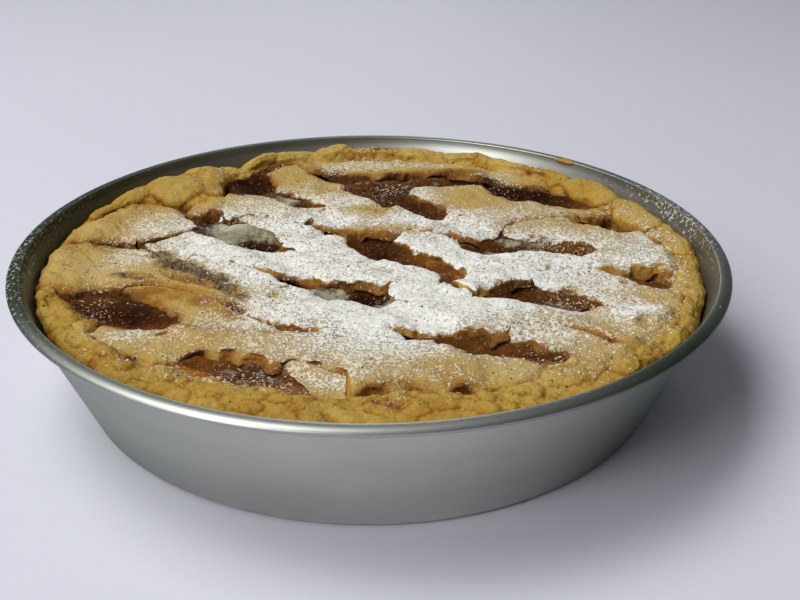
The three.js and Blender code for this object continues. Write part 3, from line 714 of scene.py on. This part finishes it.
    # towards the tin they take on the lumps of the fold; the flaps swell, and round off at the wall
    out = np.hypot(x, y)
    grid[..., 2] += np.clip(h * 3 - 2, 0, 1) * domes(x, y, small, 0.9)[0] * np.clip((out - 112) / 10, 0, 1)
    drop = 0.12 * np.clip(out - FLAP_DROP_FROM, 0, FLAP_DROP_OVER) ** 2
    grid[..., 2] += (1.3 * np.clip((out - 112) / 12, 0, 1) - drop) * h * is_flap
    grid[..., 2] -= 0.55 * np.clip(past_edge(x, y) + 1, 0, 8) * (1 - is_flap)
    push = 0.7 * relief(grid, 3.2, seed + 8) + 0.55 * relief(grid, 1.5, seed + 9)
    outwards = np.sign(np.arange(grid.shape[1]) - grid.shape[1] / 2)
    grid[..., :2] += (push * np.clip((0.97 - h) * 6, 0, 1) * outwards)[..., None] * sideways[:, None]
    uneven = relief(flat, 8, 91) + 0.5 * relief(flat, 3, 92)
    furthest = STRIP_REACH + (FLAP_REACH - STRIP_REACH + uneven) * is_flap
    furthest = np.minimum(furthest, tin_inside(grid[..., 2]) - 0.3)
    grid[..., :2] *= np.minimum(1, furthest / np.hypot(grid[..., 0], grid[..., 1]))[..., None]
    # painted shade and light on the strips' sides, from the patches listed above
    side_shade, veil = patches(x, y, SIDE_SHADE), np.clip(patches(x, y, THICK_VEILS), 0, 1)
    broken = np.clip(patches(x, y, BROKEN) * (1.5 + 1.1 * relief(flat, 2.2, 93)) - 0.15, 0, 1)
    toasted = sum(c * np.exp(-np.hypot(((x - cx) * math.cos(t) + (y - cy) * math.sin(t)) / a,
                                       ((y - cy) * math.cos(t) - (x - cx) * math.sin(t)) / b) ** 4)
                  for cx, cy, a, b, turned, c in TOASTED for t in [math.radians(turned)])
    # painted shade in the tone: darker in the hollows and the cracks, and on the shadowed sides by the
    # patches above
    tone = np.clip(0.16 + tone * (0.86 - 0.2 * upper * over * (h < 0.9)) + 0.2 * relief(flat, 9, 67)
                   + 0.35 * np.clip(dip, 0, 1) - 0.14 * skin + 0.2 * cracked
                   + side_shade * np.clip((0.97 - h) * 5, 0, 1)
                   + toasted + 0.25 * (1 - slope_end)[:, None], 0, 1)
    dust = dusting(x, y) * (1 - 0.6 * np.clip(dip, 0, 1))
    dust = dust * (1 - 0.6 * broken - 1.2 * np.clip(toasted, 0, 0.6))
    dust = dust * np.maximum(np.clip((h - 0.35) / 0.45, 0.22, 1), 0.7 * veil)
    made = piece(name + "_baked", grid, node=name,
                 attributes={"dust": dust, "baked": tone, "broken": broken})
    made.data.materials.append(material)
    return made


strip_pastry = pastry("strip_pastry", rgb(188, 158, 92), rgb(174, 138, 66), rgb(140, 92, 38),
                      rgb(74, 42, 18))
strips = [strip(name, points, name in UPPER, strip_pastry) for name, points in {**LOWER, **UPPER}.items()]


# ---- The filling --------------------------------------------------------------------------------
# Cooked wheat in ricotta and egg, poured in to the height of the strips. It browns where the lattice
# leaves it open and stays moist, so it is dark, with pale grains. It has risen against the strips.

FILL_RISE = 4.2     # how far it stands up between the strips that press it down
# where it is darkest, browned and with painted shade in its crevices, where it shines amber, where
# sugar lies on it like snow and where its grains show: (x, y, half length, half width, strength)
DARKENED = [(-62, 90, 16, 18, 1.0), (-3, -42, 9, 7, 1.2), (50, -42, 10, 9, 0.4), (10, 78, 10, 8, 1.0),
            (60, 82, 12, 8, 1.0), (-78, 30, 8, 12, 1.0), (-92, -50, 18, 9, 0.8), (80, 76, 20, 12, 0.8),
            (20, 60, 16, 12, 0.4), (-52, 17, 6, 6, 1.3), (-46, 10, 6, 5, 1.0), (-70, 32, 4, 4, 0.7),
            (2, 5, 9, 12, 0.6)]
AMBER = [(-92, -64, 14, 7, 1.0), (88, 10, 12, 8, 0.3), (24, -4, 7, 12, 0.5), (38, -24, 6, 9, 0.7),
         (-60, -97, 9, 7, 0.9), (-27, -110, 7, 5, 1.0), (102, 62, 7, 10, 0.4), (36, -80, 12, 4, 0.3)]
SNOW = [(-62, 34, 16, 7, 0.8), (-66, 16, 12, 4, 0.5), (-40, 4, 6, 5, 0.6), (6, -47, 10, 4, 0.7),
        (-38, 74, 7, 5, 0.6), (66, 20, 7, 4, 0.7)]
GRAINY = [(-107, -50, 10, 12, 0.8), (-44, -100, 16, 9, 1.0), (8, 84, 16, 12, 0.7), (64, 80, 8, 9, 0.5),
          (76, 10, 10, 9, 0.6), (95, 8, 6, 5, 1.0), (76, -44, 12, 8, 0.7), (60, -86, 10, 9, 0.8),
          (-30, -110, 9, 6, 0.8)]
# where it has risen more, or less: (x, y, half length, half width, millimetres)
RISEN = [(-48, -96, 24, 10, 1.6), (-30, -108, 10, 8, 1.0), (-62, 26, 20, 11, 2.4), (-51, 14, 6, 7, -1.6),
         (-74, 38, 6, 6, -1.4), (110, -31, 8, 8, 1.5), (-4, -42, 16, 8, 1.0)]
side = tin_inside(FILL_TOP - 1.2) - CRUST - 2 * GAP - 0.6
rows = [(r, SHEET + CRUST_BASE + 2 * GAP) for r in (1, 60, tin_inside(5) - 14)]
rows += [(tin_inside(z) - CRUST - 2 * GAP - 0.4, z) for z in (10.4, 24)] + [(side, FILL_TOP - 1.6)]
below_top = len(rows)
rows += [(r, None) for r in np.linspace(side - 1.5, 1, 130)]    # the top, at the height it was poured to
turn = np.linspace(0, 2 * np.pi, 620, endpoint=False)
cake = np.array([[(r * math.cos(a), r * math.sin(a), fill_top(r * math.cos(a), r * math.sin(a)) if z is None
                   else z) for a in turn] for r, z in rows])
open_top = (np.arange(len(rows)) >= below_top)[:, None]
x, y = cake[..., 0], cake[..., 1]
inside = opened(x, y)
against = np.clip(1 - (inside - 2) / 6, 0, 1) ** 2
wheat = 0.5 * relief(cake, 11, 21) + 0.5 * relief(cake, 4.5, 22) + 0.3 * relief(cake, 2.2, 23)
under = np.clip((-1.5 - inside) / 3, 0, 1)
hollow = 1.4 * np.clip((inside - 3) / 7, 0, 1)
rise = (FILL_RISE + 0.9 * against + (0.85 + 0.5 * np.clip(patches(x, y, THICK_VEILS), 0, 1)) * wheat - hollow
        + patches(x, y, RISEN) - (FILL_RISE + 3.0) * under)
cake[..., 2] += open_top * rise * np.clip((side - 1 - np.hypot(x, y)) / 4, 0, 1)
filling = piece("wheat_filling_baked", cake, node="filling", attributes={
    "veil": np.clip(patches(x, y, VEILS), 0, 1), "against": against,
    "scorch": np.clip(patches(x, y, DARKENED), 0, 1), "amber": np.clip(patches(x, y, AMBER), 0, 1),
    "grainy": np.clip(patches(x, y, GRAINY), 0, 1), "snow": np.clip(patches(x, y, SNOW), 0, 1)})
curd, curd_sockets = finish("browned_filling")
veil, against, scorch = curd.painted("veil"), curd.painted("against"), curd.painted("scorch")
amber, grainy = curd.painted("amber"), curd.painted("grainy")
grain, clot, cloud = curd.noise(1.1, 3, 0.6), curd.noise(4, 3, 0.6), curd.noise(24, 2)
# darker by the first patches above: browning, and painted shade in the crevices
tone = clot * 0.5 + cloud * 0.4 + against * 0.08 + (grain - 0.5) * 0.5 - scorch * 0.34 + amber * 0.36
colour = tone.node("ShaderNodeValToRGB", {"stops": [
    (0.12, rgb(40, 18, 7)), (0.38, rgb(66, 36, 14)), (0.66, rgb(104, 62, 22)),
    (0.9, rgb(156, 98, 32))]}, {0: tone})
haze = veil * 1.15 - (clot - 0.5) * 3.0 - (cloud - 0.5) * 1.2 - (grain - 0.5) * 1.1 - scorch * 0.9
haze = haze.band(0.1, 1.1) * 0.9
melted = (clot * 0.6 + grain * 0.5).band(0.4, 0.8).blend(rgb(172, 168, 142), rgb(98, 88, 62))
colour = haze.blend(colour, melted)
snow = (curd.painted("snow") + (grain - 0.5) * 1.6 + (clot - 0.5) * 1.0).band(0.25, 1.0)
colour = (snow * 0.9).blend(colour, rgb(200, 197, 180))
speck = (curd.noise(0.55, 2, 0.6) + (clot - 0.5) * 0.2 + grainy * 0.17 + veil * 0.08).band(0.66, 0.74)
colour = (speck * 0.85).blend(colour, rgb(214, 190, 168))
filling.data.materials.append(curd_sockets(
    Base_Color=colour, Roughness=0.5 + haze * 0.35 + speck * 0.2, Specular_IOR_Level=0.02,
    Normal=curd.node("ShaderNodeBump", {}, {"Strength": 0.7, "Distance": 0.0006,
                                            "Height": clot * 0.8 + grain * 0.6 + speck * 0.4})))


# ---- Loose sugar, crumbs and flour --------------------------------------------------------------
# What the sieve and the hands left: clots of icing sugar, crumbs that broke off the crust, grains of
# cooked wheat that stand out of the filling, flour on the tin, and a scrap of dough stuck to its roll.

corners, faces = [], []
for made in (tin, case, filling, *strips):
    start = len(corners)
    corners += [1000 * v.co for v in made.data.vertices]
    faces += [[start + i for i in side.vertices] for side in made.data.polygons if len(side.vertices) == 4]
surface = BVHTree.FromPolygons(corners, faces)
GOLDEN = (1 + 5 ** 0.5) / 2
ICO = np.array([(-1, GOLDEN, 0), (1, GOLDEN, 0), (-1, -GOLDEN, 0), (1, -GOLDEN, 0),
                (0, -1, GOLDEN), (0, 1, GOLDEN), (0, -1, -GOLDEN), (0, 1, -GOLDEN),
                (GOLDEN, 0, -1), (GOLDEN, 0, 1), (-GOLDEN, 0, -1), (-GOLDEN, 0, 1)])
ICO_FACES = [(0, 11, 5), (0, 5, 1), (0, 1, 7), (0, 7, 10), (0, 10, 11),
             (1, 5, 9), (5, 11, 4), (11, 10, 2), (10, 7, 6), (7, 1, 8),
             (3, 9, 4), (3, 4, 2), (3, 2, 6), (3, 6, 8), (3, 8, 9),
             (4, 9, 5), (2, 4, 11), (6, 2, 10), (8, 6, 7), (9, 8, 1)]


def ball_shape():
    """A ball of 80 triangles: the twenty of an icosahedron, each cut in four."""
    ball, cut, middle_of = list(ICO / np.hypot(1, GOLDEN)), [], {}
    for a, b, c in ICO_FACES:
        halves = []
        for pair in ((a, b), (b, c), (c, a)):
            if frozenset(pair) not in middle_of:
                middle_of[frozenset(pair)] = len(ball)
                middle = ball[pair[0]] + ball[pair[1]]
                ball.append(middle / np.linalg.norm(middle))
            halves.append(middle_of[frozenset(pair)])
        ab, bc, ca = halves
        cut += [(a, ab, ca), (b, bc, ab), (c, ca, bc), (ab, bc, ca)]
    return np.array(ball), np.array(cut)


BALL, BALL_FACES = ball_shape()
LUMPY, LUMP_SIZE = 0.22, 0.9    # how uneven a ball is made, and over what part of its radius
DROP_FROM, JUST_UNDER = 90, 0.02    # the height lumps fall from; how far below the lip they all stay


def scatter(name, material, tries, size, chance, flatness=(0.5, 0.8), long=1.0, sunk=0.25):
    """Lumps of one kind as one mesh: dropped at random, kept by chance(x, y, z, how level it is)."""
    points, triangles = [], []
    for _ in range(tries):
        r, a = (TIN_LIP_R + 1) * math.sqrt(rng.random()), rng.uniform(0, 2 * math.pi)
        start = Vector((r * math.cos(a), r * math.sin(a), DROP_FROM))
        at, normal, _, _ = surface.ray_cast(start, Vector((0, 0, -1)))
        if at is None or rng.random() > chance(*at, normal.z):
            continue
        big = rng.uniform(*size) / 2
        stretch = np.array([big * rng.uniform(1, long), big, big * rng.uniform(*flatness)])
        uneven = 1 + LUMPY * relief(BALL + rng.uniform(0, 50), LUMP_SIZE, 5)
        lump = BALL * uneven[:, None] * stretch
        spin = Matrix.Rotation(rng.uniform(0, 2 * math.pi), 3, "Z")
        tilt = np.array(normal.to_track_quat("Z", "Y").to_matrix() @ spin)
        placed = lump @ tilt.T + np.array(at) + np.array(normal) * stretch[2] * (1 - 2 * sunk)
        placed[:, 2] = np.minimum(placed[:, 2], TIN_HEIGHT - JUST_UNDER)
        points.append(placed)
        triangles.append(BALL_FACES + (len(points) - 1) * len(BALL))
    made = place_mesh(name, np.concatenate(points), np.concatenate(triangles).tolist())
    made.data.materials.append(material)


def powder(name, low, high):
    """A dry, dull finish between two colours."""
    wire, sockets = finish(name)
    return sockets(Base_Color=wire.noise(0.8, 2).band(0.35, 0.65).blend(low, high), Roughness=0.9,
                   Specular_IOR_Level=0.03)


def at_one_place(field, x, y):
    """A field that works on arrays, read at a single place."""
    return float(field(np.array([x]), np.array([y]))[0])


def on_crust(x, y, z):
    """Whether a place is on the pastry and clear of the openings."""
    return math.hypot(x, y) < 134 and z > 46 and at_one_place(opened, x, y) < -1


def in_opening(x, y, z):
    """Whether a place is well inside an opening, and not under a veil of sugar."""
    return at_one_place(opened, x, y) > 2 and z < 44 and patches(x, y, VEILS) < 0.2


def on_tin(x, y):
    """Most at the right and at the left, and none at the front."""
    turn = math.degrees(math.atan2(y, x))
    return (math.hypot(x, y) > 137.2) * (0.9 * math.exp(-((turn - 4) / 17) ** 2)
                                         + 0.7 * math.exp(-((abs(turn) - 176) / 24) ** 2))


scatter("icing_sugar_clots", powder("icing_sugar", rgb(226, 226, 218), rgb(246, 246, 242)),
        5200, (0.35, 0.85),
        lambda x, y, z, up: (at_one_place(dusting, x, y) - 0.1) * (up > 0.6) * on_crust(x, y, z))
scatter("crumbs_gold", powder("crumb_gold", rgb(156, 118, 62), rgb(196, 162, 104)),
        1400, (0.35, 0.95), lambda x, y, z, up: 0.35 * (up > 0.5) * on_crust(x, y, z), (0.4, 0.7), 1.5)
scatter("crumbs_toasted", powder("crumb_toasted", rgb(58, 42, 28), rgb(104, 76, 46)),
        1000, (0.3, 0.75), lambda x, y, z, up: 0.35 * on_crust(x, y, z), (0.4, 0.7), 1.5)
scatter("wheat_grains", powder("cooked_wheat", rgb(64, 34, 18), rgb(104, 62, 34)),
        3600, (1.2, 1.8), lambda x, y, z, up: 0.9 * in_opening(x, y, z), (0.5, 0.7), 1.9, 0.55)
scatter("flour_specks", powder("flour", rgb(186, 186, 174), rgb(220, 220, 210)),
        6000, (0.25, 0.6), lambda x, y, z, up: on_tin(x, y), (0.4, 0.7))

# the scrap: a short roll of dough that follows the lip, at this radius and these degrees round
SCRAP_R, SCRAP_AT, SCRAP_TURN, SCRAP_WIDE, SCRAP_FLAT = 140.4, 45.3, 4.6, 2.0, 0.62
scrap = []
for u in np.linspace(0, 1, 14):
    a = math.radians(SCRAP_AT + (u - 0.5) * SCRAP_TURN)
    wide = SCRAP_WIDE * math.sin(math.pi * (0.04 + 0.92 * u)) ** 0.6
    around = np.linspace(0, 2 * math.pi, 16, endpoint=False)
    scrap.append([((SCRAP_R + wide * math.cos(b)) * math.cos(a),
                   (SCRAP_R + wide * math.cos(b)) * math.sin(a),
                   TIN_HEIGHT - 0.9 + SCRAP_FLAT * wide * math.sin(b)) for b in around])
scrap = np.array(scrap)
scrap += 0.45 * np.stack([relief(scrap, 2.4, 96), relief(scrap, 2.4, 97), 0.6 * relief(scrap, 2.0, 98)], -1)
scrap[..., 2] = np.minimum(scrap[..., 2], TIN_HEIGHT - 0.05)
even = np.ones(scrap.shape[:2])
dough_scrap = piece("dough_scrap", scrap, {"baked": 0.4 * even, "dust": 0.05 * even})
dough_scrap.data.materials.append(strip_pastry)


# ---- Table, light and camera --------------------------------------------------------------------
# The tin stands on a wide, flat, pale lilac sheet. Soft square lights stand at the front left, at the
# left and high behind it, a low one at the back and a weak one at the front; the room adds a little.

SHEET_R, SHEET_SIDES = 3.2, 64      # metres
rim = [2 * math.pi * k / SHEET_SIDES for k in range(SHEET_SIDES)]
sheet_mesh = bpy.data.meshes.new("table_sheet")
sheet_mesh.from_pydata([(SHEET_R * math.cos(a), SHEET_R * math.sin(a), 0) for a in rim],
                       [], [range(SHEET_SIDES)])
table = bpy.data.objects.new("table_sheet", sheet_mesh)
bpy.context.scene.collection.objects.link(table)
sheet, sheet_sockets = finish("lilac_paper")
table.data.materials.append(sheet_sockets(
    Base_Color=sheet.noise(220, 2).blend(rgb(214, 215, 226), rgb(219, 220, 230)), Roughness=0.75))


LAMP_DISTANCE = 2.4     # metres


def lamp(name, side_angle, height_angle, size, power):
    """A square soft light, turned round from the right and raised by these degrees."""
    light = bpy.data.lights.new(name, "AREA")
    light.shape, light.size, light.energy = "SQUARE", size, power
    a, e = math.radians(side_angle), math.radians(height_angle)
    made = bpy.data.objects.new(name, light)
    towards = Vector((math.cos(e) * math.cos(a), math.cos(e) * math.sin(a), math.sin(e)))
    made.location = LAMP_DISTANCE * towards
    made.rotation_euler = (-made.location).to_track_quat("-Z", "Y").to_euler()
    bpy.context.scene.collection.objects.link(made)


lamp("front_left_window", 225, 36, 1.0, 22)
lamp("left_softbox", 188, 60, 1.2, 18)
lamp("overhead_softbox", 160, 66, 1.2, 22)
lamp("low_back_light", 90, 14, 0.7, 4)
lamp("front_fill", 244, 24, 1.6, 4)
world = bpy.data.worlds.new("room")
world.use_nodes = True
world.node_tree.nodes["Background"].inputs["Color"].default_value = (0.9, 0.92, 1.0, 1)
world.node_tree.nodes["Background"].inputs["Strength"].default_value = 0.09
bpy.context.scene.world = world
bpy.context.scene.view_settings.view_transform = "Standard"

lens = bpy.data.cameras.new("camera")
lens.lens, lens.sensor_width = 45, 36
camera = bpy.data.objects.new("camera", lens)
camera.location = (0, -0.387, 0.2174)
line_of_sight = Vector((0.0132, 0.0466, 0.0018)) - camera.location
camera.rotation_euler = line_of_sight.to_track_quat("-Z", "Y").to_euler()
camera.rotation_euler.rotate_axis("Z", math.radians(0.38))
bpy.context.scene.collection.objects.link(camera)
bpy.context.scene.camera = camera
